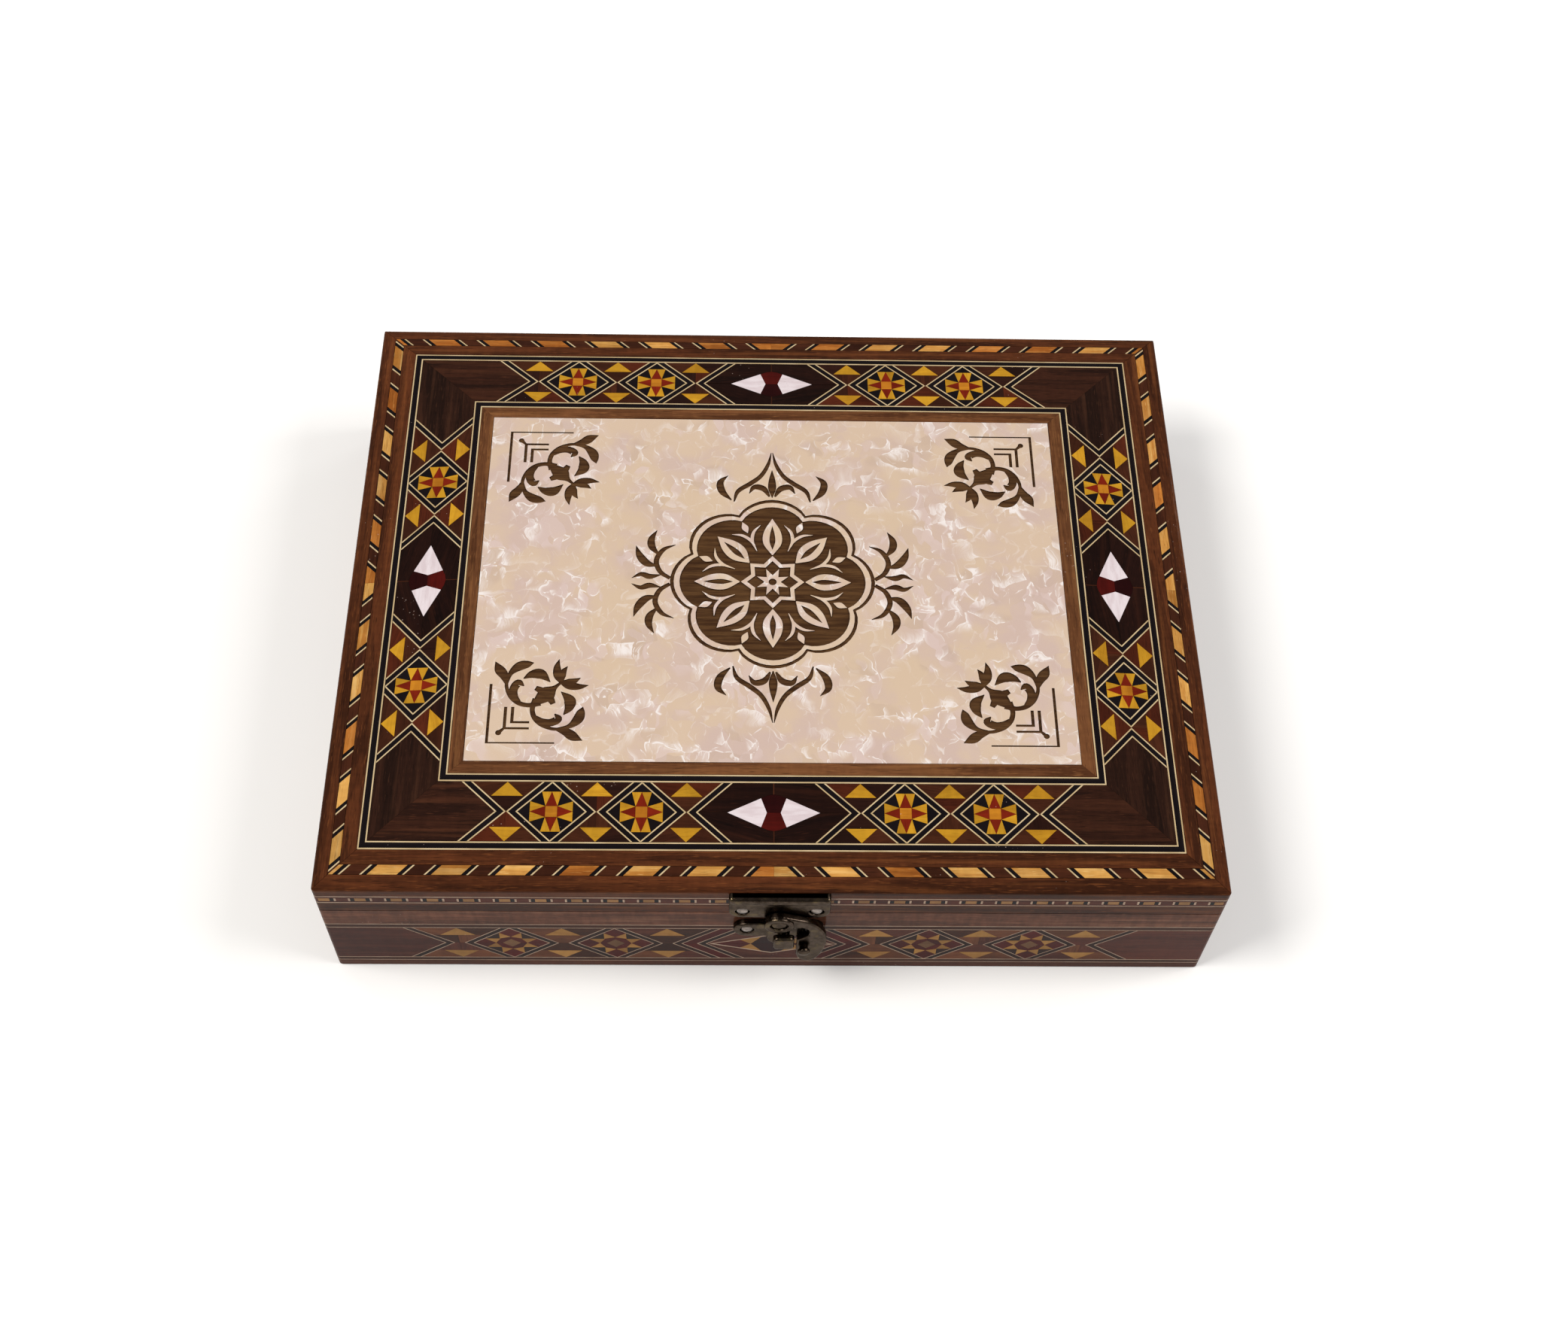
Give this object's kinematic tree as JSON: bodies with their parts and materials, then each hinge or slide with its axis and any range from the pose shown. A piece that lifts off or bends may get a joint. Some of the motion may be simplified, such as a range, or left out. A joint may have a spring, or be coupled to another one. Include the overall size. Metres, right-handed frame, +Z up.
{
  "type": "inlaid wooden box",
  "caption": "Rectangular hinged wooden box with geometric marquetry bands, string inlay, a pearl-like engraved panel in the lid and a swing-hook latch.",
  "frame": {"origin": "centre of the box's flat underside", "axes": "+X along the width, to the viewer's right when the latch faces the viewer; the latch faces -Y; +Z up"},
  "size_m": [0.25, 0.2061, 0.0517],
  "materials": {
    "walnut": "lacquered, semi-gloss",
    "frame_walnut": "lacquered, semi-gloss",
    "plain_wood": "sanded, thinly sealed",
    "marquetry": "mixed veneers under gloss lacquer",
    "string_inlay": "pale and black lines under gloss lacquer",
    "rope_inlay": "banded inlay under gloss lacquer",
    "pearl": "polished pearl-effect sheet with engraved ornament",
    "velvet": "short pile velvet",
    "brass": "satin, slightly tarnished",
    "bronze": "antiqued, worn bright on the edges",
    "steel": "plated nail heads and pins"
  },
  "bodies": {
    "base": {"bottom_board": "plain_wood", "base_wall_front": "walnut", "base_wall_right": "walnut", "base_wall_back": "walnut", "base_wall_left": "walnut", "base_marquetry_front": "marquetry", "base_marquetry_right": "marquetry", "base_marquetry_back": "marquetry", "base_marquetry_left": "marquetry", "base_lower_string": "string_inlay", "base_upper_string": "string_inlay", "floor_lining": "velvet", "wall_lining_front": "velvet", "wall_lining_right": "velvet", "wall_lining_back": "velvet", "wall_lining_left": "velvet", "hinge_base_leaf_left": "brass", "hinge_pin_left": "steel", "hinge_base_nail_left_1": "brass", "hinge_base_nail_left_2": "brass", "hinge_base_leaf_right": "brass", "hinge_pin_right": "steel", "hinge_base_nail_right_1": "brass", "hinge_base_nail_right_2": "brass", "catch_plate": "bronze", "catch_knob": "bronze", "catch_plate_nail_left": "steel", "catch_plate_nail_right": "steel"},
    "lid": {"lid_core": "plain_wood", "lid_rail_front": "walnut", "lid_rail_right": "walnut", "lid_rail_back": "walnut", "lid_rail_left": "walnut", "lid_rope_inlay": "rope_inlay", "lid_skirt_inlay": "rope_inlay", "lid_outer_string": "string_inlay", "lid_marquetry_front": "marquetry", "lid_marquetry_right": "marquetry", "lid_marquetry_back": "marquetry", "lid_marquetry_left": "marquetry", "lid_inner_string": "string_inlay", "lid_inner_frame_front": "frame_walnut", "lid_inner_frame_right": "frame_walnut", "lid_inner_frame_back": "frame_walnut", "lid_inner_frame_left": "frame_walnut", "lid_pearl_sheet": "pearl", "lid_lining": "velvet", "hinge_lid_leaf_left": "brass", "hinge_lid_nail_left_1": "brass", "hinge_lid_nail_left_2": "brass", "hinge_lid_leaf_right": "brass", "hinge_lid_nail_right_1": "brass", "hinge_lid_nail_right_2": "brass", "latch_plate": "bronze", "latch_plate_nail_left": "steel", "latch_plate_nail_right": "steel", "latch_rivet": "bronze"},
    "hook": {"latch_hook": "bronze"}
  },
  "joints": [
    {"name": "lid_hinge", "type": "hinge", "parent": "base", "child": "lid", "pos_m": [0, 0.098, 0.0357], "axis": [-1, 0, 0], "range_deg": [0, 100]},
    {"name": "hook_swing", "type": "hinge", "parent": "lid", "child": "hook", "pos_m": [0.0017, -0.103, 0.0359], "axis": [0, 1, 0], "range_deg": [-60, 38]}
  ]
}
